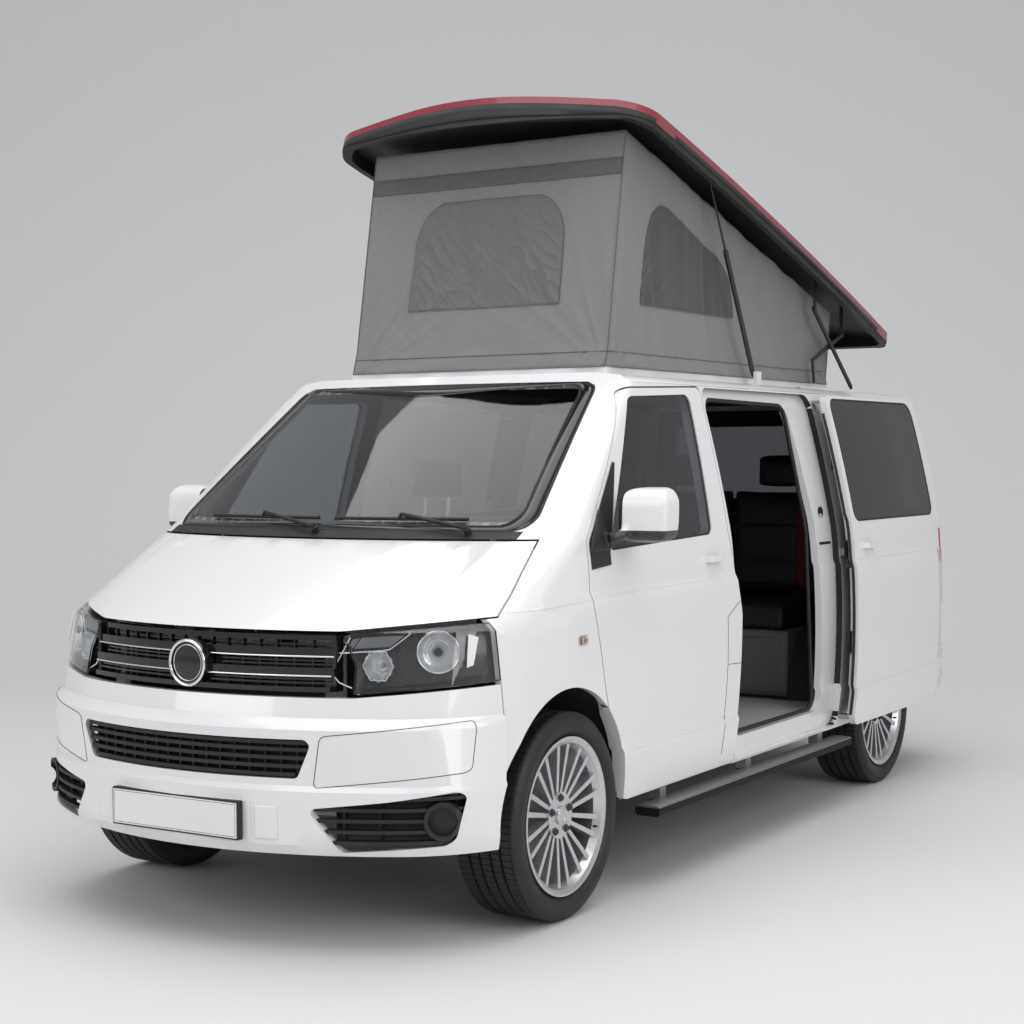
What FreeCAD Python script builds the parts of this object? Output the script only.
import FreeCAD, Part
import math
import os
from FreeCAD import Vector as V

# Camper van with a raising roof.  Millimetres, +Z up, ground at Z = 0.
# The front faces -Y and the vehicle's left side is +X.

# ---------------------------------------------------------------- main sizes
HALF_WIDTH = 952.0          # body side at its widest
REAR_Y = 2420.0             # tailgate face on the centre line
BUMPER_FRONT_Y = -2440.0    # front bumper on the centre line
BUMPER_REAR_Y = 2446.0
SILL_Z = 335.0              # lower edge of the body sides
FLOOR_Z = 420.0             # top of the load floor
FLOOR_T = 50.0
GUTTER_Z = 1832.0
ROOF_Z = 1898.0             # fixed roof at its crown
SIDE_WALL = 58.0            # side walls, outer skin to trim
DOOR_T = 52.0               # doors and tailgate
PANEL_WALL = 22.0           # bonnet and wings with their inner frames
SHUT = 6.0                  # gap round doors, bonnet and tailgate
GLASS_T = 5.0
GLASS_GAP = 1.0
ROOF_WALL = 34.0
DOOR_STEP = 16.0            # how far the inner half of a door stands in from its outer edge
PILLAR_R = 50.0             # rounding of pillars and wing tops
BULKHEAD_Y = -1446.0
BONNET_PIN = (-1475.0, 1290.0)  # Y, Z of the bonnet's hinge line
HINGE_FOOT = (-1728.0, 1236.0)
HINGE_X = 600.0             # bonnet hinges
HINGE_R = 225.0             # reach of a gooseneck round the cowl's edge
BONNET_Z1 = 1272.0
SCREEN_Z0 = 1303.0          # lower edge of the windscreen
SLAM_IN = 98.0              # slam panel's depth behind the nose
SEAT = 0.3                  # gap between pieces that rest on each other
RUNNING = 0.05              # radial clearance of pins and rods
NOSE_CUT_Y = -1935.0        # wings end here below the bonnet
REAR_BUMPER_Y = 1905.0
REAR_BUMPER_Z = 585.0
MID_WINDOW_Y0 = -110.0
MID_WINDOW_Y1 = 850.0
ROOF_HOLE_X = 572.0
ROOF_HOLE_Y0 = -610.0
ROOF_HOLE_Y1 = 1500.0

# ---------------------------------------------------------------- nose in plan
NOSE_R = 1400.0             # centre arc
NOSE_JOIN_X = 700.0         # where the centre arc meets the corner arc
REAR_R = 6000.0
REAR_CORNER_R = 170.0

# level height, front Y on the centre line, centre arc radius, rear Y
HULL_LEVELS = [
    # z,     front,    radius,  rear
    (300.0, -2372.0, NOSE_R, REAR_Y),
    (740.0, -2392.0, NOSE_R, REAR_Y),
    (1006.0, -2330.0, NOSE_R, REAR_Y - 4.0),
    (1312.0, -1690.0, 2100.0, REAR_Y - 20.0),
    (1850.0, -935.0, 2400.0, REAR_Y - 110.0),
    (1960.0, -790.0, 2400.0, REAR_Y - 135.0),
]
# bumper outlines: height, front Y
BUMPER_LEVELS = [(318.0, -2412.0), (352.0, -2436.0), (520.0, -2440.0), (536.0, -2426.0),
                 (712.0, BUMPER_FRONT_Y), (730.0, -2426.0), (744.0, -2396.0), (860.0, -2366.0)]

# side section: height, half width; the swage creases sit at 520 and 1090
SIDE_SECTION = [(300.0, 922.0), (345.0, 927.0), (512.0, 947.0), (530.0, 940.0)]
CREASE_LOW_Z = 530.0
CREASE_Z = 1090.0
BELT_Z = 1250.0

# ---------------------------------------------------------------- running gear
FRONT_AXLE_Y = -1538.0
WHEELBASE = 3000.0
TRACK_HALF = 814.0
TYRE_R = 350.0
TYRE_W = 250.0
RIM_SEAT_R = 254.0
RIM_W = 228.0
STEER_LIMIT = 35.0          # degrees
ARCH_R = 414.0
ARCH_Z = 370.0
ARCH_INNER_X = 480.0
ARCH_FRONT_Y = -1556.0
ARCH_REAR_Y = 1462.0
ARCH_HOUSE_R = 438.0
REAR_ARCH_INNER_X = 640.0
SPOKE_PAIRS = 10
WHEEL_BOLTS = 5
BOLT_CIRCLE = 120.0
HUB_X = TRACK_HALF + RIM_W / 2 - 72.0   # seat of the wheel on its hub
KING_X = 770.0              # steering axis
STRUT_X = 622.0

# ---------------------------------------------------------------- doors
DOOR_FRONT = [(-1150, 338, 60), (-1305, 744, 120), (-1392, 1090, 60), (-1388, 1262, 40),
              (-868, 1806, 110), (-246, 1826, 30), (-256, 1250, 80), (-182, 930, 120),
              (-216, 340, 30)]
DOOR_WINDOW = [(-1240, 1226, 18), (-868, 1776, 60), (-350, 1796, 40), (-392, 1252, 40)]
SLIDE_DOOR_Y0 = -212.0
SLIDE_DOOR_Y1 = 880.0
SLIDE_DOOR_Z0 = 352.0
SLIDE_DOOR_Z1 = 1820.0
SLIDE_TRAVEL = 1062.0       # rearward travel of the open door
SLIDE_OUT = 92.0            # outward step of the open door
OPENING = [(-160, 430, 40), (-172, 1790, 60), (640, 1780, 80), (700, 1290, 60), (726, 430, 60)]
REAR_WINDOW_Y0 = 1010.0
REAR_WINDOW_Y1 = 2060.0
WINDOW_Z0 = 1262.0
WINDOW_Z1 = 1800.0

# ---------------------------------------------------------------- raising roof
ROOF_TILT = 15.5            # degrees between closed and raised
ROOF_POLE = (2862.0, 1627.5)  # Y, Z of the hinge line
PANEL_Y0 = -909.0           # closed panel, front edge
PANEL_Y1 = 1990.0           # closed panel, rear edge
PANEL_HALF = 742.0
PANEL_Z = 1853.0            # closed panel, lower rim at its ends
PANEL_RISE = 32.0           # crown of the rim along its length
PANEL_EDGE = 72.0           # height of the rim
PANEL_CROWN = 42.0          # crown across the width
PANEL_SKIN = 10.0
ARM_X = 655.0
ARM_T = 10.0
WELL_X0 = 624.0             # wells that the arms fold into
WELL_X1 = 690.0
WELL_Y0 = 1040.0
WELL_Y1 = 1815.0
WELL_Z = 1774.0
LIFT_PIN = (1756.0, 1891.0)
LIFT_ROOF_PIN = (1274.0, 2246.0)
GUIDE_ROOF_PIN = (1678.0, 2147.0)
GUIDE_KINK = (1291.0, 2004.0)
GUIDE_FOOT = (1310.0, 1905.0)
STRUT_FOOT = (583.0, 1911.0)
STRUT_TOP = (147.0, 2698.0)
STRUT_TUBE = 590.0
STRUT_LAP = 280.0
RIM_H = 26.0
RIM_T = 26.0
TENT_X = 600.0
TENT_Z = 1898.5
TENT_T = 6.0

# ---------------------------------------------------------------- fittings
BUMPER_T = 30.0
HANDLE_Y = -416.0
HANDLE_Z = 1159.0
LAMP_X0 = 772.0             # tail lamps
LAMP_Y0 = 2262.0
LAMP_Z0 = 800.0
LAMP_Z1 = 1180.0
PIN_R = 6.0
LAMP_BOWLS = [(690.0, 905.0, 52.0), (806.0, 928.0, 58.0)]
BROAD_BARS = [(884.0, 505.0), (944.0, 505.0)]
GRILLE_RIBS = 17
FOG_SLATS = 5
BOLT_HOLE_R = 7.5
DISC_R = 150.0
LOWER_ARM_Z = 262.0
STEP_Y0 = -1010.0
STEP_Y1 = 870.0
KITCHEN_Y0 = 20.0
KITCHEN_Y1 = 1850.0
COLUMN_TILT = 62.0
WHEEL_CENTRE = (-400.0, -962.0, 1092.0)


def line(a, b):
    """Straight edge between two points."""
    return Part.LineSegment(V(*a), V(*b)).toShape()


def arc(a, b, c):
    """Arc edge through three points."""
    return Part.Arc(V(*a), V(*b), V(*c)).toShape()


def box(x0, x1, y0, y1, z0, z1):
    """Box between two corners."""
    return Part.makeBox(x1 - x0, y1 - y0, z1 - z0, V(x0, y0, z0))


def rod(a, b, r):
    """Round bar from a to b."""
    d = V(*b) - V(*a)
    return Part.makeCylinder(r, d.Length, V(*a), d)


def round_wire(pts, place):
    """Closed outline of lines and tangent arcs.

    Each point is (u, v, corner radius); place turns (u, v) into a 3-D point.
    """
    n = len(pts)
    ends = []
    for i in range(n):
        u, v, r = pts[i]
        p = V(u, v, 0)
        a = V(pts[i - 1][0], pts[i - 1][1], 0) - p
        b = V(pts[(i + 1) % n][0], pts[(i + 1) % n][1], 0) - p
        if r <= 0:
            ends.append((p, None, p))
            continue
        half = a.getAngle(b) / 2.0
        cut = min(r / math.tan(half), 0.49 * a.Length, 0.49 * b.Length)
        rr = cut * math.tan(half)
        a.normalize()
        b.normalize()
        mid = a + b
        mid.normalize()
        c = p + mid * (rr / math.sin(half))
        ends.append((p + a * cut, c - mid * rr, p + b * cut))
    edges = []
    for i in range(n):
        s, m, e = ends[i]
        if m is not None:
            edges.append(arc(place(s.x, s.y), place(m.x, m.y), place(e.x, e.y)))
        t = ends[(i + 1) % n][0]
        if (t - e).Length > 1e-6:
            edges.append(line(place(e.x, e.y), place(t.x, t.y)))
    return Part.Wire(edges)


def prism_x(pts, x0, x1):
    """Side-view outline (y, z, radius) extruded along X."""
    w = round_wire(pts, lambda u, v: (x0, u, v))
    return Part.Face(w).extrude(V(x1 - x0, 0, 0))


def prism_y(pts, y0, y1):
    """Front-view outline (x, z, radius) extruded along Y."""
    w = round_wire(pts, lambda u, v: (u, y0, v))
    return Part.Face(w).extrude(V(0, y1 - y0, 0))


def prism_z(pts, z0, z1):
    """Plan outline (x, y, radius) extruded along Z."""
    w = round_wire(pts, lambda u, v: (u, v, z0))
    return Part.Face(w).extrude(V(0, 0, z1 - z0))


def mirror(s):
    """Mirror image across the centre plane."""
    return s.mirror(V(0, 0, 0), V(1, 0, 0))


def both(s):
    """A solid and its mirror image."""
    return Part.makeCompound([s, mirror(s)])


def grow(pts, d):
    """Outline of the same corners moved outwards by d (inwards if negative)."""
    n = len(pts)
    area = sum(pts[i][0] * pts[(i + 1) % n][1] - pts[(i + 1) % n][0] * pts[i][1]
               for i in range(n))
    sgn = 1.0 if area > 0 else -1.0
    out = []
    for i in range(n):
        p, a, b = pts[i], pts[i - 1], pts[(i + 1) % n]
        e1 = V(p[0] - a[0], p[1] - a[1], 0)
        e2 = V(b[0] - p[0], b[1] - p[1], 0)
        e1.normalize()
        e2.normalize()
        n1 = V(e1.y, -e1.x, 0) * sgn
        n2 = V(e2.y, -e2.x, 0) * sgn
        m = (n1 + n2) * (d / (1.0 + n1.dot(n2)))
        out.append((p[0] + m.x, p[1] + m.y, max(p[2] + d, 1.0)))
    return out


def plan_wire(z, front, radius, rear, inset):
    """Plan outline of the body at height z: nose arcs, sides and rear arcs."""
    wide = HALF_WIDTH + 10.0
    th = math.asin(NOSE_JOIN_X / radius)
    cy = front + radius
    rc = (wide - NOSE_JOIN_X) / (1.0 - math.sin(th))
    ccx = wide - rc
    ccy = cy - radius * math.cos(th) + rc * math.cos(th)
    r0, r1, half = radius - inset, rc - inset, wide - inset
    tr = math.asin((wide - REAR_CORNER_R) / (REAR_R - REAR_CORNER_R))
    ry = rear - REAR_R
    rcy = ry + (REAR_R - REAR_CORNER_R) * math.cos(tr)
    rcx = wide - REAR_CORNER_R
    r2, r3 = REAR_CORNER_R - inset, REAR_R - inset

    def nose(a):
        return (r0 * math.sin(a), cy - r0 * math.cos(a), z)

    def cheek(a, s):
        return (s * (ccx + r1 * math.sin(a)), ccy - r1 * math.cos(a), z)

    def hip(a, s):
        return (s * (rcx + r2 * math.cos(a)), rcy + r2 * math.sin(a), z)

    def tail(a):
        return (r3 * math.sin(a), ry + r3 * math.cos(a), z)

    q = math.pi / 2
    e = [arc(nose(-th), nose(0), nose(th)),
         arc(nose(th), cheek((th + q) / 2, 1), cheek(q, 1)),
         line(cheek(q, 1), hip(0, 1)),
         arc(hip(0, 1), hip((q - tr) / 2, 1), tail(tr)),
         arc(tail(tr), tail(0), tail(-tr)),
         arc(tail(-tr), hip((q - tr) / 2, -1), hip(0, -1)),
         line(hip(0, -1), cheek(q, -1)),
         arc(cheek(q, -1), cheek((th + q) / 2, -1), nose(-th))]
    return Part.Wire(e)


def side_prism(inset, drop):
    """Cross-section of the body extruded along its length."""
    def p(z, x, s=1):
        return (s * (x - inset), -2600.0, z)
    up = []
    for s in (1, -1):
        e = [line(p(z0, x0, s), p(z1, x1, s))
             for (z0, x0), (z1, x1) in zip(SIDE_SECTION, SIDE_SECTION[1:])]
        e.append(arc(p(CREASE_LOW_Z, 940, s), p(820, HALF_WIDTH, s), p(CREASE_Z - 26, 946, s)))
        e.append(line(p(CREASE_Z - 26, 946, s), p(CREASE_Z, 936, s)))
        e.append(arc(p(CREASE_Z, 936, s), p(1170, 931, s), p(BELT_Z, 922, s)))
        e.append(arc(p(BELT_Z, 922, s), p(1560, 858, s), p(GUTTER_Z, 788, s)))
        e.append(line(p(GUTTER_Z, 788, s), p(GUTTER_Z + 6 - drop, 768, s)))
        e.append(line(p(GUTTER_Z + 6 - drop, 768, s), p(GUTTER_Z + 26 - drop, 742, s)))
        up.append(e)
    top = arc((742 - inset, -2600, GUTTER_Z + 26 - drop), (0, -2600, ROOF_Z + 6 - drop),
              (-742 + inset, -2600, GUTTER_Z + 26 - drop))
    base = line(p(300, 922, 1), p(300, 922, -1))
    w = Part.Wire(Part.__sortEdges__(up[0] + up[1] + [top, base]))
    return Part.Face(w).extrude(V(0, 5200, 0))


def roof_cut(drop):
    """Everything above the roof line, seen from the side."""
    z = ROOF_Z - drop
    e = [arc((-1200, -1200, z - 46), (-1200, 300, z), (-1200, 2600, z - 60)),
         line((-1200, 2600, z - 60), (-1200, 2600, 2300)),
         line((-1200, 2600, 2300), (-1200, -1200, 2300)),
         line((-1200, -1200, 2300), (-1200, -1200, z - 46))]
    return Part.Face(Part.Wire(e)).extrude(V(2400, 0, 0))


def hull(inset, drop=None):
    """Body form moved inwards by inset, with its roof lowered by drop."""
    drop = inset if drop is None else drop
    plans = Part.makeLoft([plan_wire(z, f, r, b, inset) for z, f, r, b in HULL_LEVELS],
                          True, True)
    return plans.common(side_prism(inset, drop)).cut(roof_cut(drop))


def soften(body, r):
    """Round the windscreen pillars and the tops of the wings."""
    picks = []
    for e in body.Edges:
        b = e.BoundBox
        c = b.Center
        tall = b.ZMax - b.ZMin
        pillar = 800 < abs(c.x) < 880 and c.y < -1000 and tall > 400
        wing = abs(c.x) > 900 and -1730 < c.y < -1400 and c.z > 1064 and 20 < tall < 300
        if pillar or wing:
            picks.append(e)
    return body.makeFillet(r, picks)


def largest(s):
    """The main solid, without slivers left where two cuts nearly meet."""
    return max(s.Solids, key=lambda q: q.Volume)


def shell(outer, inner, outline):
    """Part of the wall between two body forms inside an outline prism."""
    return outer.common(outline).cut(inner)


# ---------------------------------------------------------------- body forms
SHARP = hull(0.0)
SKIN = soften(SHARP, PILLAR_R)
FORM = {d: hull(d) for d in (GLASS_T, 6.0, 8.0, 13.0, PANEL_WALL, 28.0)}
ROOM = hull(SIDE_WALL, ROOF_WALL)
DOOR_BACK = hull(DOOR_T)

parts = {}


def door_outline(extra):
    return grow(DOOR_FRONT, extra)


def window_rect(y0, y1, r=70):
    """Side window outline between two stations."""
    return [(y0, WINDOW_Z0, r), (y0, WINDOW_Z1, r), (y1, WINDOW_Z1, r), (y1, WINDOW_Z0, r)]


WINDSCREEN = [(-792, SCREEN_Z0, 50), (-676, 1834, 60), (676, 1834, 60), (792, SCREEN_Z0, 50)]
COWL = [(-770, -1300, 0), (-770, -1700, 60), (0, -1900, 600), (770, -1700, 60), (770, -1300, 0)]
BONNET_FACE = [(-960, 1056, 0), (-505, 1010, 200), (505, 1010, 200), (960, 1056, 0), (960, BONNET_Z1, 0),
               (-960, BONNET_Z1, 0)]
NOSE_FACE = [(-1100, 1064, 0), (-960, 1050, 0), (-505, 1005, 200), (505, 1005, 200), (960, 1050, 0),
             (1100, 1064, 0), (1100, 200, 0), (-1100, 200, 0)]
BUMPER_FACE = [(-1100, 856, 0), (-960, 841, 0), (-566, 805, 200), (566, 805, 200), (960, 841, 0),
               (1100, 856, 0), (1100, 318, 0), (-1100, 318, 0)]
TAILGATE = [(-752, 600, 60), (-752, 1252, 200), (-664, 1806, 60), (664, 1806, 60),
            (752, 1252, 200), (752, 600, 60)]
TAILGATE_WINDOW = [(-640, 1290, 60), (-590, 1740, 70), (590, 1740, 70), (640, 1290, 60)]
SLIDE_OUTLINE = [(SLIDE_DOOR_Y0, SLIDE_DOOR_Z0, 50), (SLIDE_DOOR_Y0 - 14, SLIDE_DOOR_Z1, 40),
                 (SLIDE_DOOR_Y1, SLIDE_DOOR_Z1, 70), (SLIDE_DOOR_Y1, SLIDE_DOOR_Z0, 60)]
SLIDE_WINDOW = [(SLIDE_DOOR_Y0 + 36, WINDOW_Z0, 50), (SLIDE_DOOR_Y0 + 30, WINDOW_Z1 + 4, 50),
                (SLIDE_DOOR_Y1 - 12, WINDOW_Z1 + 4, 70), (SLIDE_DOOR_Y1 - 12, WINDOW_Z0, 50)]
BONNET = [(-800, -1400, 30), (-868, -1800, 300), (-884, -1960, 60), (-884, -2600, 0),
          (884, -2600, 0), (884, -1960, 60), (868, -1800, 300), (800, -1400, 30)]


def wheel_arch(y, r, inner_x):
    """Space of one wheel arch on the left, out past the body side."""
    return Part.makeCylinder(r, 1100 - inner_x, V(inner_x, y, ARCH_Z), V(1, 0, 0))


def body_shell():
    """Sides, roof, floor, bulkheads and wheel houses as one welded shell."""
    rear = box(-1100, 1100, BULKHEAD_Y, 2600, 250, 2200)
    front = box(-1100, 1100, -2600, BULKHEAD_Y, 250, 2200)
    s = SKIN.common(rear).cut(ROOM).fuse(SKIN.common(front).cut(FORM[PANEL_WALL]))
    # floor, bulkhead and the inner faces of the wheel houses
    floor = FORM[28.0].common(box(-1100, 1100, BULKHEAD_Y, 2340, FLOOR_Z - FLOOR_T, FLOOR_Z))
    wall = FORM[13.0].common(box(-1100, 1100, BULKHEAD_Y, BULKHEAD_Y + 14, FLOOR_Z - FLOOR_T, 1312))
    s = s.multiFuse([floor, wall])
    houses, spaces = [], []
    for y, r, inner in ((ARCH_FRONT_Y, ARCH_HOUSE_R, ARCH_INNER_X),
                        (ARCH_REAR_Y, ARCH_HOUSE_R, REAR_ARCH_INNER_X)):
        big = wheel_arch(y, r + 8, inner - 8).common(FORM[13.0])
        big = big.cut(box(0, 1200, -2600, 2600, 200, SILL_Z + 20))
        houses += [big, mirror(big)]
        space = wheel_arch(y, r, inner)
        lip = wheel_arch(y, ARCH_R, inner)
        space = space.common(FORM[PANEL_WALL]).fuse(lip)
        spaces += [space, mirror(space)]
    s = s.multiFuse(houses)
    # arm wells in the roof, beside the roof opening
    wells, holes = [], []
    for k in (1, -1):
        x0, x1 = sorted((k * WELL_X0, k * WELL_X1))
        wells.append(box(x0 - 4, x1 + 4, WELL_Y0 - 4, WELL_Y1 + 4, WELL_Z - 4, ROOF_Z - 30))
        holes.append(box(x0, x1, WELL_Y0, WELL_Y1, WELL_Z, ROOF_Z + 20))
    s = s.multiFuse(wells)
    cuts = spaces + holes
    # doors: full outline outside, stepped inside
    for pts, sides in ((DOOR_FRONT, (1, -1)),):
        outer = SKIN.common(prism_x(grow(pts, SHUT), 500, 1100)).cut(FORM[28.0])
        inner = shell(SKIN, ROOM, prism_x(grow(pts, SHUT - DOOR_STEP), 500, 1100))
        for k in sides:
            cuts += [c if k > 0 else mirror(c) for c in (outer, inner)]
    outer = SKIN.common(prism_x(grow(SLIDE_OUTLINE, SHUT), 500, 1100)).cut(FORM[28.0])
    cuts += [outer, prism_x(OPENING, 600, 1100)]
    # windows
    for y0, y1, k in ((REAR_WINDOW_Y0, REAR_WINDOW_Y1, 1), (REAR_WINDOW_Y0, REAR_WINDOW_Y1, -1),
                      (MID_WINDOW_Y0, MID_WINDOW_Y1, -1)):
        w = window_rect(y0, y1)
        for c in (SKIN.common(prism_x(w, 500, 1100)).cut(FORM[6.0]),
                  prism_x(grow(w, -30), 500, 1100)):
            cuts.append(c if k > 0 else mirror(c))
    cuts.append(SKIN.common(prism_y(WINDSCREEN, -2000, -700)).cut(FORM[6.0]))
    cuts.append(prism_y(grow(WINDSCREEN, -28), -2000, -780))
    # tailgate
    cuts.append(SKIN.common(prism_y(grow(TAILGATE, SHUT), 2150, 2600)).cut(FORM[28.0]))
    cuts.append(prism_y(grow(TAILGATE, SHUT - DOOR_STEP), 2150, 2600))
    # bonnet, lamps, grille and bumper places
    face = prism_y(grow(BONNET_FACE, SHUT), -2700, -1300)
    cuts.append(prism_z(grow(BONNET, SHUT), 900, 2000).common(face))
    cuts.append(prism_y(NOSE_FACE, -2700, NOSE_CUT_Y))
    cuts.append(prism_z(COWL, 1200, 1500).common(box(-900, 900, -2000, -1300, BONNET_Z1, SCREEN_Z0)))
    cuts.append(box(-1100, 1100, REAR_BUMPER_Y - SEAT, 2700, 200, REAR_BUMPER_Z + SEAT).cut(
        rear_form(BUMPER_T + SEAT)))
    lamp = box(LAMP_X0, 1100, LAMP_Y0, 2700, LAMP_Z0, LAMP_Z1).cut(FORM[28.0])
    cuts += [lamp, mirror(lamp)]
    for k in (1, -1):
        cuts.append(box(*sorted((k * 600, k * 660)), ARCH_REAR_Y - 80, ARCH_REAR_Y + 110, 330, 362))
    # roof opening and bottom
    cuts.append(box(-ROOF_HOLE_X, ROOF_HOLE_X, ROOF_HOLE_Y0, ROOF_HOLE_Y1, 1700, 2100))
    cuts.append(box(-1200, 1200, -2700, 2700, 200, SILL_Z))
    body = s.cut(cuts)
    # slam panel and lower beam across the nose, with posts and bumper stays
    extras = [slam_bar(0.0),
              bow(-470, 470, nose_front(760) + SLAM_IN, 34, 420, 480, NOSE_R - SLAM_IN)]
    for k in (1, -1):
        x0, x1 = sorted((k * 430, k * 470))
        y = nose_y(450.0, 740.0) + SLAM_IN
        extras.append(box(x0, x1, y + 10, BULKHEAD_Y + 8, 420, 480))
        extras.append(box(x0, x1, y + 10, y + 70, 420, 976))
        x0, x1 = sorted((k * 330, k * 370))
        y = nose_y(350.0, 740.0)
        extras.append(box(x0, x1, -2500, y + SLAM_IN + 8, 430, 470).common(bumper_form(BUMPER_T + SEAT)))
        # lug and pin of the bonnet hinge
        y, z = BONNET_PIN
        extras.append(box(*sorted((k * 584, k * (HINGE_X - 6))), y - 20, BULKHEAD_Y + 4, z - 20, z + 16))
        extras.append(rod((k * 588, y, z), (k * (HINGE_X + 10), y, z), PIN_R))
    # frame round the roof opening, which the tent stands on
    frame = box(-TENT_X - 4, TENT_X + 4, -664, 1566, ROOF_Z - 60, TENT_Z - SEAT)
    frame = frame.cut(box(-ROOF_HOLE_X, ROOF_HOLE_X, ROOF_HOLE_Y0, ROOF_HOLE_Y1, 1700, 2100))
    extras.append(frame)
    # lugs of the lift arms, guide arms and gas struts
    for y, z, r, x0, x1, xp in ((*LIFT_PIN, PIN_R, 668.0, 684.0, ARM_X - 5),
                                (*STRUT_FOOT, 4.0, ARM_X + 11 + SEAT, 684.0, ARM_X - 6)):
        lug = box(x0, x1, y - 22, y + 22, ROOF_Z - 60, z + 12)
        pin = rod((xp, y, z), (x0 + 4, y, z), r)
        extras += [lug, mirror(lug), pin, mirror(pin)]
    y, z = GUIDE_FOOT
    lug = box(628, ARM_X - 16 - SEAT, y - 20, y + 20, ROOF_Z - 60, z + 8)
    extras += [lug, mirror(lug)]
    return largest(body.multiFuse(extras))


def bonnet():
    """Bonnet skin with its inner frame and two gooseneck hinges."""
    area = prism_z(BONNET, 900, 2000).common(prism_y(BONNET_FACE, -2700, -1300))
    s = shell(SHARP, FORM[PANEL_WALL], area)
    s = s.cut(FORM[GLASS_T].common(box(-1000, 1000, -2000, -1300, BONNET_Z1 - 24, BONNET_Z1 + 10)))
    y, z = BONNET_PIN
    neck = [(y - HINGE_R * math.cos(math.radians(a)), z - HINGE_R * math.sin(math.radians(a)))
            for a in (66, 48, 30, 14)]
    hinge = bar_plate([BONNET_PIN] + neck + [HINGE_FOOT], 20, HINGE_X, HINGE_X + 8)
    hinge = hinge.cut(Part.makeCylinder(PIN_R + RUNNING, 20, V(HINGE_X - 6, y, z), V(1, 0, 0)))
    return s.multiFuse([hinge, mirror(hinge)])


def cowl_panel():
    """Black panel between bonnet and windscreen that carries the wipers."""
    area = prism_z(grow(COWL, -SEAT), 1200, 1500).common(
        box(-900, 900, -2000, -1300, BONNET_Z1 + SHUT, SCREEN_Z0 - SEAT))
    return shell(hull(1.0), FORM[PANEL_WALL], area)


def front_door():
    """Left front door: outer half, stepped inner half, window hole with a glass rebate."""
    outer = shell(SKIN, FORM[28.0], prism_x(DOOR_FRONT, 500, 1100))
    inner = shell(FORM[28.0], DOOR_BACK, prism_x(grow(DOOR_FRONT, -DOOR_STEP), 500, 1100))
    d = outer.fuse(inner)
    d = d.cut(prism_x(DOOR_WINDOW, 500, 1100))
    d = d.cut(wheel_arch(ARCH_FRONT_Y, ARCH_R, 600))
    return largest(d.fuse(handle(HANDLE_Y, HANDLE_Z)))


def handle(y, z):
    """Pull handle standing off the door skin."""
    x = 922.0
    grip = prism_z([(x, y - 72, 0), (x + 38, y - 58, 12), (x + 38, y + 58, 12), (x, y + 72, 0)],
                   z - 13, z + 13)
    return grip.cut(box(x + 13, x + 25, y - 44, y + 44, z - 20, z + 20))


def window_glass(outline, d0, d1):
    """Pane between two body forms, kept clear of its frame."""
    return shell(d0, d1, prism_x(grow(outline, -GLASS_GAP), 500, 1100))


def sliding_door():
    """Sliding door in its open place, out from and behind its opening."""
    outer = shell(SKIN, FORM[28.0], prism_x(SLIDE_OUTLINE, 500, 1100))
    inner = shell(FORM[28.0], DOOR_BACK, prism_x(grow(SLIDE_OUTLINE, -40), 500, 1100))
    d = outer.fuse(inner)
    d = d.cut(SKIN.common(prism_x(SLIDE_WINDOW, 500, 1100)).cut(FORM[6.0]))
    d = d.cut(prism_x(grow(SLIDE_WINDOW, -32), 500, 1100))
    d = d.fuse(handle(SLIDE_DOOR_Y0 + 160, HANDLE_Z - 8))
    d = largest(d)
    d.translate(V(SLIDE_OUT, SLIDE_TRAVEL, 0))
    return d


def slide_arms(door):
    """Brackets that carry the open sliding door on the body's tracks."""
    y = SLIDE_DOOR_Y0 + SLIDE_TRAVEL
    arms = [box(880, 1000, y + 40, y + 100, 372, 392), box(760, 880, y + 44, y + 84, 1786, 1800),
            box(900, 1010, y + 60, y + 150, 1104, 1136)]
    form = hull(-SEAT)
    return Part.makeCompound([largest(a.cut([form, door])) for a in arms])


def tailgate():
    outer = shell(SKIN, FORM[28.0], prism_y(TAILGATE, 2100, 2600))
    inner = shell(FORM[28.0], DOOR_BACK, prism_y(grow(TAILGATE, -DOOR_STEP), 2100, 2600))
    d = outer.fuse(inner)
    d = d.cut(SKIN.common(prism_y(TAILGATE_WINDOW, 2100, 2600)).cut(FORM[6.0]))
    d = d.cut(prism_y(grow(TAILGATE_WINDOW, -30), 2100, 2600))
    grip = box(-110, 110, REAR_Y - 30, REAR_Y + 16, 1004, 1040)
    return d.fuse(grip)


def bumper_form(inset):
    """Front bumper form, a little proud of the wings."""
    wires = [plan_wire(z, f, NOSE_R, REAR_Y, inset) for z, f in BUMPER_LEVELS]
    return Part.makeLoft(wires, True, True)


LOWER_GRILLE = [(-432, 558, 22), (-486, 682, 22), (486, 682, 22), (432, 558, 22)]
FOG_GRILLE = [(466, 466, 16), (560, 330, 22), (856, 352, 40), (884, 520, 22), (700, 492, 60)]
UPPER_GRILLE = [(-505, 998, 10), (-556, 905, 10), (-505, 822, 20), (505, 822, 20), (556, 905, 10),
                (505, 998, 10)]
HEADLAMP = [(512, 1000, 8), (564, 905, 12), (566, 812, 16), (930, 846, 30), (930, 1038, 20)]


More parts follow.
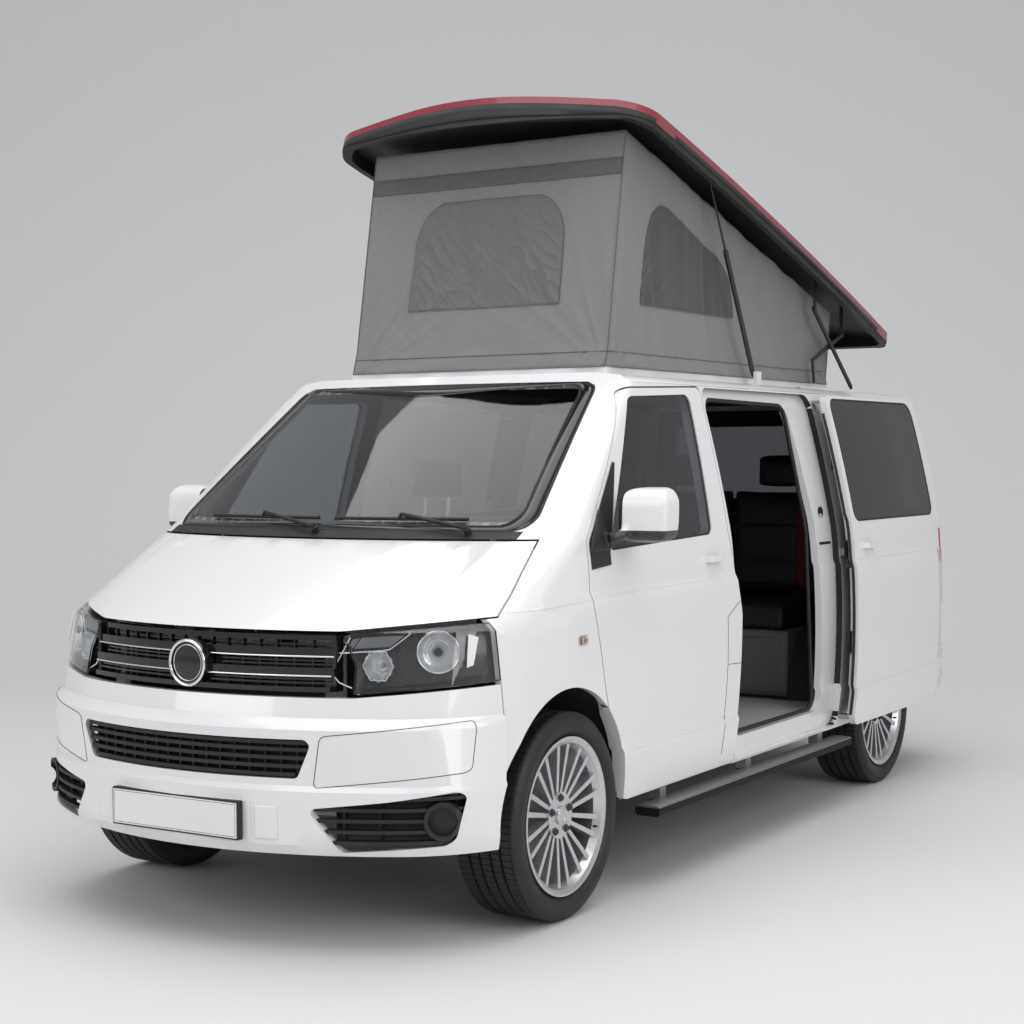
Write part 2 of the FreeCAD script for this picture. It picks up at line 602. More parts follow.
def front_bumper():
    """Bumper cover with its lower grille, fog lamp and plate places."""
    area = prism_y(BUMPER_FACE, -2700, NOSE_CUT_Y - SHUT)
    face = bumper_form(0.0).common(side_prism(-3.0, -3.0)).common(area)
    s = face.cut(bumper_form(BUMPER_T).common(side_prism(BUMPER_T - 3.0, 0.0)))
    for pts in (LOWER_GRILLE, FOG_GRILLE, [(-x, z, r) for x, z, r in FOG_GRILLE]):
        s = s.cut(prism_y(pts, -2700, -1700))
    for k in (0, 1):
        a = wheel_arch(ARCH_FRONT_Y, ARCH_R, 600)
        s = s.cut(mirror(a) if k else a)
    # plinth for the number plate
    plinth = box(-285, 285, -2480, -2360, 366, 486).common(bumper_form(-6.0)).cut(bumper_form(BUMPER_T - 4))
    return s.fuse(plinth)


def rear_form(inset):
    """Rear bumper form, a little proud of the tailgate."""
    wires = [plan_wire(z, -2372.0, NOSE_R, back, inset) for z, back in
             ((310.0, BUMPER_REAR_Y - 44), (420.0, BUMPER_REAR_Y), (560.0, BUMPER_REAR_Y),
              (REAR_BUMPER_Z + 20, BUMPER_REAR_Y - 14))]
    return Part.makeLoft(wires, True, True)


def rear_bumper():
    """Rear bumper cover, level with the body sides and proud at the back."""
    s = rear_form(0.0).common(side_prism(-4.0, -4.0)).common(
        box(-1100, 1100, REAR_BUMPER_Y, 2700, 330, REAR_BUMPER_Z))
    return s.cut(rear_form(BUMPER_T))


def nose_front(z):
    """Front of the body on the centre line at a height between bumper and bonnet."""
    (za, fa), (zb, fb) = [(lv[0], lv[1]) for lv in HULL_LEVELS[1:3]]
    return fa + (fb - fa) * (z - za) / (zb - za)


def nose_y(x, z):
    """Y of the nose surface at a station on its centre arc."""
    return nose_front(z) + NOSE_R - math.sqrt(NOSE_R ** 2 - x * x)


def bow(x0, x1, front, depth, z0, z1, r=NOSE_R):
    """Level bar that follows the centre arc of the nose between two stations."""
    def p(x, rr):
        return (x, front + r - math.sqrt(rr * rr - x * x), z0)
    m = (x0 + x1) / 2
    e = [arc(p(x0, r), p(m, r), p(x1, r)), line(p(x1, r), p(x1, r - depth)),
         arc(p(x1, r - depth), p(m, r - depth), p(x0, r - depth)), line(p(x0, r - depth), p(x0, r))]
    return Part.Face(Part.Wire(e)).extrude(V(0, 0, z1 - z0))


def slam_bar(ease):
    """Bar under the bonnet's front edge, grown by ease."""
    return bow(-560 - ease, 560 + ease, nose_front(975) + SLAM_IN - ease, 34 + 2 * ease, 962 - ease,
               990 + ease, NOSE_R - SLAM_IN + ease)


def upper_grille():
    """Two broad bars over a backing of slats and ribs between the headlamps."""
    out = []
    top, low = 998.0, 822.0
    for z, half in ((top - 8, 500.0), (low + 8, 500.0)):
        out.append(bow(-half, half, nose_front(z) + 2, 40, z - 8, z + 8))
    for z, half in BROAD_BARS:
        out.append(bow(-half, half, nose_front(z) + 2, 34, z - 14, z + 14))
    for z in (848.0, 860.0, 905.0, 917.0, 967.0):
        out.append(bow(-506, 506, nose_front(z) + 22, 20, z - 3, z + 3))
    for i in range(GRILLE_RIBS):
        x = -480.0 + 960.0 / (GRILLE_RIBS - 1) * i
        y = nose_front(905) + NOSE_R - math.sqrt(NOSE_R ** 2 - x * x) + 30
        out.append(box(x - 3, x + 3, y, y + 16, low, top))
    for k in (-1, 1):
        y = nose_front(905) + NOSE_R - math.sqrt(NOSE_R ** 2 - 500 ** 2)
        out.append(box(*sorted((k * 496, k * 508)), y + 6, y + 44, low, top))
        tab = box(*sorted((k * 300, k * 312)), nose_y(306, 976) + 34, nose_y(300, 976) + SLAM_IN + 12,
                  966, 986)
        out.append(tab.cut(slam_bar(SEAT)))
    badge = Part.makeCylinder(62, 46, V(0, -2362 + 46, 905), V(0, -1, 0))
    return out[0].multiFuse(out[1:] + [badge])


def lower_grilles():
    """Lower grille and the two fog lamp grilles, with slats, ribs and lamp bowls."""
    front = BUMPER_FRONT_Y + 16
    (x0, z0, _), (x1, z1, _) = LOWER_GRILLE[3], LOWER_GRILLE[2]
    bars = []
    for z, ease in ((570.0, 12.0), (596.0, 0.0), (622.0, 0.0), (648.0, 0.0), (670.0, 14.0)):
        h = x0 + (x1 - x0) * (z - 6 - z0) / (z1 - z0) - SEAT - ease
        bars.append(bow(-h, h, front, 24, z - 6, z + 6))
    for i in range(GRILLE_RIBS):
        x = -424.0 + 848.0 / (GRILLE_RIBS - 1) * i
        y = front + NOSE_R - math.sqrt(NOSE_R ** 2 - x * x) + 12
        bars.append(box(x - 3, x + 3, y, y + 20, 566, 674))
    centre = bars[0].multiFuse(bars[1:])
    # fog lamp grille: level slats that follow the corner of the bumper
    zone = prism_y(grow(FOG_GRILLE, -1.0), -2700, -1850)
    z0 = 356.0
    fog = []
    for i in range(FOG_SLATS):
        z = z0 + 34.0 * i
        rim, back = [Part.Face(plan_wire(z, BUMPER_FRONT_Y + 14, NOSE_R, REAR_Y, d)).extrude(V(0, 0, 11))
                     for d in (0, 26)]
        fog.append(rim.common(zone).cut(back))
    y = -2056.0
    d = V(0.5, -0.866, 0)
    bowl = Part.makeCylinder(60, 110, V(782, y, 428), d)
    lens = Part.makeCylinder(46, 60, V(782, y, 428) + d * 80, d)
    posts = [box(x - 4, x + 4, py, py + 20, 360, 500) for x, py in
             ((560.0, -2290.0), (660.0, -2238.0), (840.0, -2086.0))]
    fog = fog[0].multiFuse(fog[1:] + [p.common(zone) for p in posts + [bowl]]).cut(lens)
    return Part.makeCompound([centre, fog, mirror(fog)])


def headlamps():
    """Lamp housings with a round and a six-sided reflector, behind clear covers."""
    zone = prism_y(grow(HEADLAMP, -2.0), -2700, -1850)
    zone = zone.common(box(0, 1100, -2700, NOSE_CUT_Y - GLASS_GAP, 700, 1100))
    cover = shell(hull(1.0), FORM[6.0], zone)
    cover = cover.fuse(zone.common(FORM[6.0]).cut(hull(30.0)).cut(
        prism_y(grow(HEADLAMP, -6.0), -2700, -1800)))
    bowl = zone.common(hull(30.3)).cut([hull(SLAM_IN + 4.0), slam_bar(SEAT)])
    for x, z, r in LAMP_BOWLS:
        bowl = bowl.cut(Part.makeCone(r * 0.35, r, 90, V(x, -1990, z), V(0, -1, 0)).fuse(
            Part.makeCylinder(r, 400, V(x, -2080, z), V(0, -1, 0))))
    return bowl, cover


def windscreen():
    return shell(hull(1.0), FORM[6.0], prism_y(grow(WINDSCREEN, -GLASS_GAP), -2000, -700))


def side_glass():
    out = []
    for y0, y1, k in ((REAR_WINDOW_Y0, REAR_WINDOW_Y1, 1), (REAR_WINDOW_Y0, REAR_WINDOW_Y1, -1),
                      (MID_WINDOW_Y0, MID_WINDOW_Y1, -1)):
        g = window_glass(window_rect(y0, y1), SKIN, FORM[GLASS_T])
        out.append(g if k > 0 else mirror(g))
    return Part.makeCompound(out)


def door_mirror():
    """Left door mirror: foot, arm and two-part head."""
    foot = prism_x([(-1385, 1225, 8), (-1372, 1262, 8), (-1262, 1395, 10), (-1250, 1225, 8)], 800, 1000)
    foot = foot.common(hull(-14.0)).cut(hull(-SEAT))
    arm = rod((941, -1272, 1272), (985, -1225, 1285), 20)
    head = prism_x([(-1225, 1262, 40), (-1215, 1440, 60), (-1105, 1452, 30), (-1108, 1250, 30)], 950, 1138)
    head = head.common(prism_y([(950, 1240, 30), (950, 1440, 50), (1110, 1456, 50), (1140, 1400, 40),
                                (1132, 1262, 40)], -1400, -1000))
    glass = prism_y([(966, 1268, 24), (966, 1428, 40), (1100, 1440, 40), (1124, 1390, 30),
                     (1118, 1276, 30)], -1112, -1050)
    return foot.multiFuse([arm, head.cut(glass)])


def tyre(side, y):
    """Low-profile tyre, turned section."""
    h, s = TYRE_W / 2, RIM_SEAT_R + 0.3
    b = RIM_W / 2 - 14.5
    pts = [(-b, s), (-b, s + 14), (-h, s + 54), (-h + 22, TYRE_R), (h - 22, TYRE_R), (h, s + 54),
           (b, s + 14), (b, s), (-b, s)]
    w = Part.makePolygon([V(side * TRACK_HALF + u, y, TYRE_R + v) for u, v in pts])
    return Part.Face(w).revolve(V(0, y, TYRE_R), V(1, 0, 0), 360)


def wheel(side, y):
    """Alloy wheel: rim, paired spokes, centre and bolt holes, outer face away from the body."""
    cx = TRACK_HALF
    h = RIM_W / 2
    out = [(-h, RIM_SEAT_R + 13), (-h, RIM_SEAT_R - 22), (-h + 10, RIM_SEAT_R - 24),
           (h - 30, RIM_SEAT_R - 24), (h - 6, RIM_SEAT_R - 8), (h, RIM_SEAT_R + 4), (h, RIM_SEAT_R + 13), (h - 8, RIM_SEAT_R + 13),
           (h - 14, RIM_SEAT_R - 0.2), (-h + 12, RIM_SEAT_R - 0.2), (-h + 8, RIM_SEAT_R + 13)]
    w = Part.makePolygon([V(u, 0, v) for u, v in out] + [V(out[0][0], 0, out[0][1])])
    rim = Part.Face(w).revolve(V(0, 0, 0), V(1, 0, 0), 360)
    hub = Part.makeCylinder(78, 44, V(h - 72, 0, 0), V(1, 0, 0))
    spokes = []
    for i in range(SPOKE_PAIRS):
        for k in (-1, 1):
            a = 360.0 / SPOKE_PAIRS * i
            face = Part.Face(Part.makePolygon([
                V(h - 66, k * 10 - 7, 60), V(h - 66, k * 10 + 7, 60), V(h - 34, k * 10 + 7, 60),
                V(h - 34, k * 10 - 7, 60), V(h - 66, k * 10 - 7, 60)]))
            tip = Part.Face(Part.makePolygon([
                V(h - 56, k * 32 - 9, 240), V(h - 56, k * 32 + 9, 240), V(h - 14, k * 32 + 9, 240),
                V(h - 14, k * 32 - 9, 240), V(h - 56, k * 32 - 9, 240)]))
            sp = Part.makeLoft([face.OuterWire, tip.OuterWire], True, True)
            sp.rotate(V(0, 0, 0), V(1, 0, 0), a)
            spokes.append(sp)
    s = rim.multiFuse([hub] + spokes)
    for i in range(WHEEL_BOLTS):
        a = 2 * math.pi * i / WHEEL_BOLTS
        s = s.cut(Part.makeCylinder(BOLT_HOLE_R, 80, V(h - 80, BOLT_CIRCLE / 2 * math.sin(a),
                                                       BOLT_CIRCLE / 2 * math.cos(a)), V(1, 0, 0)))
    s.translate(V(cx, y, TYRE_R))
    return s if side > 0 else mirror(s)


def brake_disc(side, y):
    """Brake disc with its hat, bolted behind the wheel centre."""
    x1 = HUB_X - SEAT
    hat = Part.makeCylinder(76, 50, V(x1 - 50, y, TYRE_R), V(1, 0, 0))
    disc = Part.makeCylinder(DISC_R, 24, V(x1 - 66, y, TYRE_R), V(1, 0, 0))
    s = hat.fuse(disc)
    return s if side > 0 else mirror(s)


def knuckle(side, y):
    """Hub carrier with its caliper, lower ball joint and strut foot."""
    x1 = HUB_X - 67
    hub = Part.makeCylinder(58, x1 - STRUT_X, V(STRUT_X, y, TYRE_R), V(1, 0, 0))
    ball = rod((KING_X - 60, y, TYRE_R - 50), (KING_X - 60, y, LOWER_ARM_Z + 12), 20)
    clamp = box(STRUT_X - 26, STRUT_X + 26, y - 26, y + 26, TYRE_R - 20, TYRE_R + 100)
    cal = box(x1 - 40, x1 + 58, y + DISC_R - 52, y + DISC_R + 22, TYRE_R - 60, TYRE_R + 60)
    slot = Part.makeCylinder(DISC_R + 6, 32, V(x1 - 4, y, TYRE_R), V(1, 0, 0))
    arm = box(x1 - 40, x1 - 12, y, y + DISC_R - 40, TYRE_R - 26, TYRE_R + 26)
    s = hub.multiFuse([ball, clamp, cal.cut(slot), arm])
    return s if side > 0 else mirror(s)


def strut_towers():
    """Front suspension struts, from above the knuckles to the wheel houses."""
    x, y = STRUT_X, FRONT_AXLE_Y
    s = rod((x, y, TYRE_R + 100 + SEAT), (x, y, ARCH_Z + ARCH_HOUSE_R - 40), 25)
    s = s.fuse(rod((x, y, ARCH_Z + 300), (x, y, ARCH_Z + ARCH_HOUSE_R + 4), 38))
    return both(s.common(wheel_arch(ARCH_FRONT_Y, ARCH_HOUSE_R - SEAT, ARCH_INNER_X)))


def front_subframe():
    x1 = KING_X - 60
    beam = box(-430, 430, FRONT_AXLE_Y - 110, FRONT_AXLE_Y + 130, 268, 318)
    beam = beam.cut(box(-300, 300, FRONT_AXLE_Y - 60, FRONT_AXLE_Y + 80, 200, 400))
    arms = []
    for k in (1, -1):
        pts = [(k * 430, FRONT_AXLE_Y - 90, 10), (k * x1, FRONT_AXLE_Y - 30, 20),
               (k * x1, FRONT_AXLE_Y + 30, 20), (k * 430, FRONT_AXLE_Y + 110, 10)]
        arms.append(prism_z(pts, LOWER_ARM_Z - 12, LOWER_ARM_Z + 11.7).fuse(
            box(*sorted((k * 400, k * 440)), FRONT_AXLE_Y - 90, FRONT_AXLE_Y + 110, LOWER_ARM_Z - 12, 300)))
    legs = [box(*sorted((k * 350, k * 420)), FRONT_AXLE_Y + 50, FRONT_AXLE_Y + 130, 300, FLOOR_Z - FLOOR_T)
            for k in (1, -1)]
    return beam.multiFuse(arms + legs)


def rear_suspension():
    """Cross beam, trailing arms and hub stubs."""
    y = ARCH_REAR_Y
    beam = box(-560, 560, y - 300, y - 220, 290, FLOOR_Z - FLOOR_T - SEAT)
    arms = []
    for k in (1, -1):
        arms.append(box(*sorted((k * 480, k * 560)), y - 240, y + 60, 290, 352))
        arms.append(box(*sorted((k * 500, k * 700)), y - 50, y + 60, 296, 352))
        arms.append(rod((k * 656, y, TYRE_R), (k * (HUB_X - 66 - SEAT), y, TYRE_R), 58))
        arms.append(rod((k * 520, y + 30, 340), (k * 520, y + 30, FLOOR_Z - FLOOR_T - SEAT), 34))
    return beam.multiFuse(arms)


def side_steps():
    """Side bars under the sills on brackets."""
    out = []
    for k in (1, -1):
        bar = prism_y([(k * 905, 262, 14), (k * 905, 300, 14), (k * 1004, 300, 14), (k * 1004, 262, 14)],
                      STEP_Y0, STEP_Y1)
        feet = [box(*sorted((k * 880, k * 925)), y - 25, y + 25, 290, SILL_Z - 0) for y in
                (STEP_Y0 + 180, (STEP_Y0 + STEP_Y1) / 2, STEP_Y1 - 180)]
        out.append(bar.multiFuse(feet))
    return Part.makeCompound(out)


def seat(x, y, w):
    """One front seat: base, cushion, backrest and headrest."""
    base = box(x - w / 2 + 30, x + w / 2 - 30, y - 230, y + 200, FLOOR_Z, 640)
    cushion = prism_x([(y - 260, 640, 20), (y - 270, 760, 50), (y + 230, 740, 40), (y + 230, 640, 20)],
                      x - w / 2, x + w / 2)
    back = prism_x([(y + 130, 720, 20), (y + 190, 1330, 50), (y + 290, 1340, 40), (y + 240, 700, 30)],
                   x - w / 2, x + w / 2)
    head = prism_x([(y + 208, 1372, 20), (y + 214, 1540, 40), (y + 300, 1545, 40), (y + 300, 1372, 30)],
                   x - 130, x + 130)
    posts = [rod((x + k * 60, y + 250, 1300), (x + k * 60, y + 256, 1400), 8) for k in (-1, 1)]
    return base.multiFuse([cushion, back, head] + posts)


def rear_bench():
    """Bench box with cushion and backrest across the rear."""
    x0, x1, y = -420.0, 610.0, 1060.0
    base = box(x0, x1, y, y + 480, FLOOR_Z, 740)
    cushion = prism_x([(y - 20, 740, 10), (y - 30, 860, 40), (y + 490, 845, 20), (y + 490, 740, 10)], x0, x1)
    back = prism_x([(y + 400, 840, 20), (y + 500, 1400, 50), (y + 610, 1400, 40), (y + 520, 800, 30)],
                   x0, x1)
    heads = [prism_x([(y + 500, 1396, 10), (y + 505, 1560, 40), (y + 590, 1560, 40), (y + 590, 1396, 10)],
                     x - 120, x + 120) for x in (x0 + 270, x1 - 270)]
    return base.multiFuse([cushion, back] + heads)


def kitchen_unit():
    """Cupboard run along the right wall with a worktop."""
    x0, x1 = -868.0, -470.0
    body = box(x0, x1, KITCHEN_Y0, KITCHEN_Y1, FLOOR_Z, 1180).common(ROOM)
    top = box(x0, x1 + 14, KITCHEN_Y0 - 6, KITCHEN_Y1 + 6, 1180, 1208).common(ROOM)
    s = body.fuse(top).cut(mirror(wheel_arch(ARCH_REAR_Y, ARCH_HOUSE_R + 14, REAR_ARCH_INNER_X - 16)))
    for i in range(3):
        y = KITCHEN_Y0 + 12 + i * (KITCHEN_Y1 - KITCHEN_Y0 - 12) / 3
        w = (KITCHEN_Y1 - KITCHEN_Y0) / 3 - 16
        s = s.cut(box(x1 - 4, x1 + 5, y, y + 4, 450, 1160))
    return s


def dashboard():
    pts = [(BULKHEAD_Y + 15, 700, 20), (BULKHEAD_Y + 15, 1290, 20), (-1330, 1262, 60), (-1100, 1190, 60),
           (-1060, 1060, 40), (-1180, 900, 80), (-1200, 700, 40)]
    s = prism_x(pts, -900, 900).common(hull(SIDE_WALL + 16))
    hood = prism_x([(-1230, 1180, 20), (-1210, 1250, 30), (-1070, 1222, 20), (-1062, 1150, 20)], -560, -240)
    s = s.fuse(hood).common(hull(SIDE_WALL + 16))
    house = wheel_arch(ARCH_FRONT_Y, ARCH_HOUSE_R + 9, ARCH_INNER_X - 10)
    t = math.radians(COLUMN_TILT)
    c = V(*WHEEL_CENTRE)
    d = V(0, -math.sin(t), -math.cos(t))
    return s.cut([house, mirror(house), Part.makeCylinder(29, 200 + SEAT, c, d)])


def steering_wheel():
    """Rim, spokes and boss, square to the tilted column."""
    grip = [V(188 + 15 * math.cos(math.radians(a)), 0, 15 * math.sin(math.radians(a)))
            for a in range(0, 361, 45)]
    rim = Part.Face(Part.makePolygon(grip)).revolve(V(0, 0, 0), V(0, 0, 1), 360)
    boss = Part.makeCylinder(66, 40, V(0, 0, -40))
    bars = [box(-180, 180, -16, 16, -24, -6), box(-16, 16, -180, 0, -24, -6)]
    shaft = Part.makeCylinder(24, 170, V(0, 0, -200))
    s = rim.multiFuse([boss, shaft] + bars)
    s.rotate(V(0, 0, 0), V(1, 0, 0), -COLUMN_TILT)
    s.translate(V(*WHEEL_CENTRE))
    return s


def wipers():
    """Two wiper arms and blades resting low on the windscreen."""
    out = []

    def screen(x, z, lift):
        """Point over the cowl or the windscreen at a station and height."""
        z0, f0, r0 = HULL_LEVELS[2][:3] if z < HULL_LEVELS[3][0] else HULL_LEVELS[3][:3]
        z1, f1, r1 = HULL_LEVELS[3][:3] if z < HULL_LEVELS[3][0] else HULL_LEVELS[4][:3]
        t = (z - z0) / (z1 - z0)
        r = r0 + t * (r1 - r0)
        y = f0 + t * (f1 - f0) + r - math.sqrt(r * r - x * x)
        return (x, y - 0.58 * lift, z + 0.815 * lift)

    for x0, x1 in ((600.0, 60.0), (20.0, -560.0)):
        foot, crown = screen(x0, 1296.0, -6.0), screen(x0, 1296.0, 22.0)
        joint = screen((x0 + x1) / 2, 1338.0, 26.0)
        pieces = [rod(foot, crown, 13).cut(hull(1.0 - SEAT)), rod(crown, joint, 7)]
        xs = [x0 - 30 + (x1 - x0 + 30) * i / 4.0 for i in range(5)]
        run = [screen(x, 1334.0, 10.0) for x in xs]
        pieces += [rod(p, q, 6) for p, q in zip(run, run[1:])]
        pieces.append(rod(run[2], joint, 6))
        out.append(pieces[0].multiFuse(pieces[1:]))
    return Part.makeCompound(out)


def tail_lamps():
    """Upright lamps in the rear corners."""
    zone = box(LAMP_X0 + SEAT, 1000, LAMP_Y0 + SEAT, 2600, LAMP_Z0 + SEAT, LAMP_Z1 - SEAT)
    return hull(-2.0).common(zone).cut(FORM[28.0])


# ---------------------------------------------------------------- raising roof
def raise_roof(s):
    """Turn a shape from the closed roof place to the raised one."""
    s = s.copy()
    s.rotate(V(0, *ROOF_POLE), V(1, 0, 0), -ROOF_TILT)
    return s


PANEL_LONG_R = (PANEL_Y1 - PANEL_Y0) ** 2 / 8.0 / PANEL_RISE
PANEL_MID_Y = (PANEL_Y0 + PANEL_Y1) / 2.0


def panel_form(inset, low, high, crown):
    """Crowned roof form between two heights above the rim line, inset at the sides."""
    base = PANEL_Z + PANEL_RISE
    half = PANEL_HALF - inset
    e = [line((-half, PANEL_MID_Y, base + low), (half, PANEL_MID_Y, base + low)),
         line((half, PANEL_MID_Y, base + low), (half, PANEL_MID_Y, base + high)),
         line((-half, PANEL_MID_Y, base + high), (-half, PANEL_MID_Y, base + low))]
    if crown > 0:
        e.append(arc((half, PANEL_MID_Y, base + high), (0, PANEL_MID_Y, base + high + crown),
                     (-half, PANEL_MID_Y, base + high)))
    else:
        e.append(line((half, PANEL_MID_Y, base + high), (-half, PANEL_MID_Y, base + high)))
    face = Part.Face(Part.Wire(Part.__sortEdges__(e)))
    pivot = V(0, PANEL_MID_Y, base - PANEL_LONG_R)
    face.rotate(pivot, V(1, 0, 0), -4)
    s = face.revolve(pivot, V(1, 0, 0), 8)
    y0, y1 = PANEL_Y0 + inset, PANEL_Y1 - inset
    plan = [(-half, y0 + 90, 160), (0, y0 - 60 + inset, 1500), (half, y0 + 90, 160), (half, y1 + 2, 90),
            (-half, y1 + 2, 90)]
    return s.common(prism_z(plan, 1700, 2200))


def pop_roof():
    """Roof moulding: crowned skin with a rim, hollow underneath, and the arm brackets."""
    s = panel_form(0, RIM_H, PANEL_EDGE, PANEL_CROWN)
    s = s.cut(panel_form(RIM_T, 0, PANEL_EDGE - PANEL_SKIN, PANEL_CROWN))
    s = raise_roof(s)
    full = raise_roof(panel_form(4.0, -200, PANEL_EDGE - 2, PANEL_CROWN))
    lugs = []
    for (y, z), x0, x1, pin in ((LIFT_ROOF_PIN, ARM_X + 4 + SEAT, ARM_X + 10, 0),
                                (STRUT_TOP, ARM_X + 5 + SEAT, ARM_X + 11, 0),
                                (GUIDE_ROOF_PIN, ARM_X - 24, ARM_X - 16 - SEAT, 5.0)):
        lug = box(x0, x1, y - 14, y + 14, z - 12, z + 200).common(full)
        lugs.append(lug)
        if pin:
            lugs.append(rod((x0, y, z), (ARM_X - 8, y, z), pin))
    return s.multiFuse(lugs + [mirror(q) for q in lugs])


def roof_rim():
    """Seal band under the roof moulding's edge."""
    s = panel_form(2.0, 0, RIM_H, 0).cut(panel_form(RIM_T + 2, -20, RIM_H + 20, 0))
    return raise_roof(s.cut(hull(-SHUT, -SHUT)))


def pop_roof_line(y):
    """Height of the raised rim line at a station, taken on the chord."""
    t = math.radians(ROOF_TILT)
    py, pz = ROOF_POLE
    # closed point that lands at y
    yc = (y - py - (PANEL_Z + PANEL_RISE - pz) * math.sin(t)) / math.cos(t) + py
    zc = PANEL_Z + PANEL_RISE - (yc - PANEL_MID_Y) ** 2 / 2 / PANEL_LONG_R
    return pz - (yc - py) * math.sin(t) + (zc - pz) * math.cos(t)


def tent_fabric():
    """Canvas walls between the roof opening and the raised roof."""
    y0, y1 = -658.0, 1560.0
    top0, top1 = pop_roof_line(-492) + 24, pop_roof_line(1628) + 24
    lean0, lean1 = (-492 - y0) / (top0 - TENT_Z), (1628 - y1) / (top1 - TENT_Z)

    def pts(d, ease):
        return [(y0 + d - lean0 * ease, TENT_Z - ease, 0), (-492 + d + lean0 * ease, top0 + ease, 0),
                (1628 - d + lean1 * ease, top1 + ease, 0), (y1 - d - lean1 * ease, TENT_Z - ease, 0)]
    outer = prism_x(pts(0, 0), -TENT_X, TENT_X)
    return outer.cut(prism_x(pts(TENT_T, 40), -TENT_X + TENT_T, TENT_X - TENT_T))


def bar_plate(pts, w, x0, x1):
    """Flat link between points (y, z) with round ends."""
    out = []
    for (y0, z0), (y1, z1) in zip(pts, pts[1:]):
        d = V(0, y1 - y0, z1 - z0)
        n = V(0, -d.z, d.y)
        n.normalize()
        n = n * (w / 2)
        a, b = V(x0, y0, z0), V(x0, y1, z1)
        f = Part.Face(Part.makePolygon([a + n, b + n, b - n, a - n, a + n]))
        out.append(f.extrude(V(x1 - x0, 0, 0)))
    for y, z in pts:
        out.append(Part.makeCylinder(w / 2, x1 - x0, V(x0, y, z), V(1, 0, 0)))
    return out[0].multiFuse(out[1:])


def pin_hole(y, z, r):
    """Running hole for a pin along X."""
    return Part.makeCylinder(r + RUNNING, 60, V(ARM_X - 30, y, z), V(1, 0, 0))


def lift_arms():
    """Rear arms that carry the roof, hinged on the body."""
    bar = bar_plate([LIFT_PIN, LIFT_ROOF_PIN], 24, ARM_X - 4, ARM_X + 4)
    return both(bar.cut(pin_hole(*LIFT_PIN, PIN_R)))


def guide_arms():
    """Cranked arms, hinged on the roof."""
    return both(bar_plate([GUIDE_ROOF_PIN, GUIDE_KINK, GUIDE_FOOT], 18, ARM_X - 16, ARM_X - 9).cut(
        pin_hole(*GUIDE_ROOF_PIN, 5.0)))


def strut_parts():
    """Gas struts at their raised length, opened at the rod's eye."""
    b, t = V(ARM_X, *STRUT_FOOT), V(ARM_X, *STRUT_TOP)
    d = t - b
    length = d.Length
    d.normalize()
    tube = rod(tuple(b + d * 8), tuple(b + d * STRUT_TUBE), 11).fuse(
        Part.makeCylinder(11, 10, b + V(-5, 0, 0), V(1, 0, 0)))
    tube = tube.cut(pin_hole(*STRUT_FOOT, 4.0))
    bore = rod(tuple(b + d * 30), tuple(b + d * (STRUT_TUBE + 1)), 5.0 + RUNNING)
    shaft = rod(tuple(b + d * (STRUT_TUBE - STRUT_LAP)), tuple(b + d * (length - 6)), 5)
    eye = Part.makeCylinder(9, 8, t + V(-4, 0, 0), V(1, 0, 0))
    return both(tube.cut(bore)), both(shaft.fuse(eye))


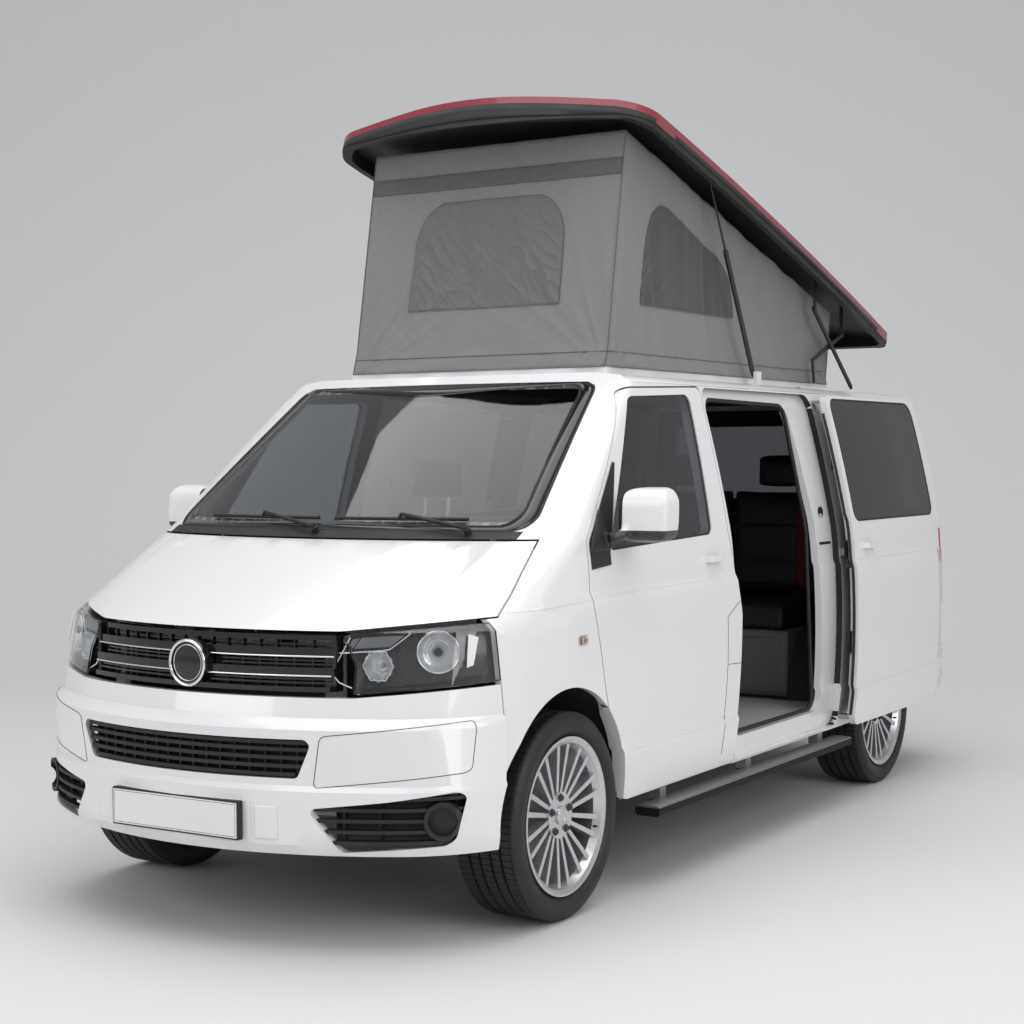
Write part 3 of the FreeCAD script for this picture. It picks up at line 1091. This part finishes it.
def main():
    os.makedirs("parts", exist_ok=True)
    parts["body_shell"] = body_shell()
    parts["bonnet"] = bonnet()
    parts["front_bumper"] = front_bumper()
    parts["rear_bumper"] = rear_bumper()
    parts["upper_grille"] = upper_grille()
    parts["lower_grilles"] = lower_grilles()
    bowl, cover = headlamps()
    parts["headlamps"] = both(bowl)
    parts["headlamp_covers"] = both(cover)
    parts["tail_lamps"] = both(tail_lamps())
    parts["windscreen"] = windscreen()
    parts["side_glass"] = side_glass()
    parts["wipers"] = wipers()
    door = front_door()
    glass = window_glass(DOOR_WINDOW, FORM[8.0], FORM[13.0])
    look = door_mirror()
    for side, turn in (("left", lambda s: s), ("right", mirror)):
        parts["door_" + side] = turn(door)
        parts["door_glass_" + side] = turn(glass)
        parts["mirror_" + side] = turn(look)
    parts["sliding_door"] = sliding_door()
    g = window_glass(SLIDE_WINDOW, SKIN, FORM[GLASS_T])
    g.translate(V(SLIDE_OUT, SLIDE_TRAVEL, 0))
    parts["sliding_door_glass"] = g
    parts["slide_arms"] = slide_arms(parts["sliding_door"])
    parts["tailgate"] = tailgate()
    pane = prism_y(grow(TAILGATE_WINDOW, -GLASS_GAP), 2100, 2600)
    parts["tailgate_glass"] = shell(SKIN, FORM[GLASS_T], pane)
    for name, side, y in (("front_left", 1, FRONT_AXLE_Y), ("front_right", -1, FRONT_AXLE_Y),
                          ("rear_left", 1, FRONT_AXLE_Y + WHEELBASE),
                          ("rear_right", -1, FRONT_AXLE_Y + WHEELBASE)):
        parts["tyre_" + name] = tyre(side, y)
        parts["wheel_" + name] = wheel(side, y)
        parts["brake_disc_" + name] = brake_disc(side, y)
    parts["knuckle_left"] = knuckle(1, FRONT_AXLE_Y)
    parts["knuckle_right"] = knuckle(-1, FRONT_AXLE_Y)
    parts["front_struts"] = strut_towers()
    parts["front_subframe"] = front_subframe()
    parts["rear_suspension"] = rear_suspension()
    parts["engine_block"] = box(-330, 330, -2010, -1480, 318 + SEAT, 900)
    parts["fuel_tank"] = box(-340, 340, -700, 60, 215, FLOOR_Z - FLOOR_T - SEAT)
    parts["cowl_panel"] = cowl_panel()
    parts["side_steps"] = side_steps()
    parts["front_seats"] = both(seat(430, -560, 500))
    parts["rear_bench"] = rear_bench()
    parts["kitchen_unit"] = kitchen_unit()
    parts["dashboard"] = dashboard()
    parts["steering_wheel"] = steering_wheel()
    parts["pop_roof"] = pop_roof()
    parts["roof_rim"] = roof_rim()
    parts["tent_fabric"] = tent_fabric()
    parts["lift_arms"] = lift_arms()
    parts["guide_arms"] = guide_arms()
    parts["strut_tubes"], parts["strut_rods"] = strut_parts()
    for name, shape in parts.items():
        print(name, len(shape.Solids), shape.isValid(), round(shape.Volume / 1e6, 2), len(shape.Faces))
        shape.exportStep("parts/" + name + ".step")


if __name__ == "__main__":
    main()
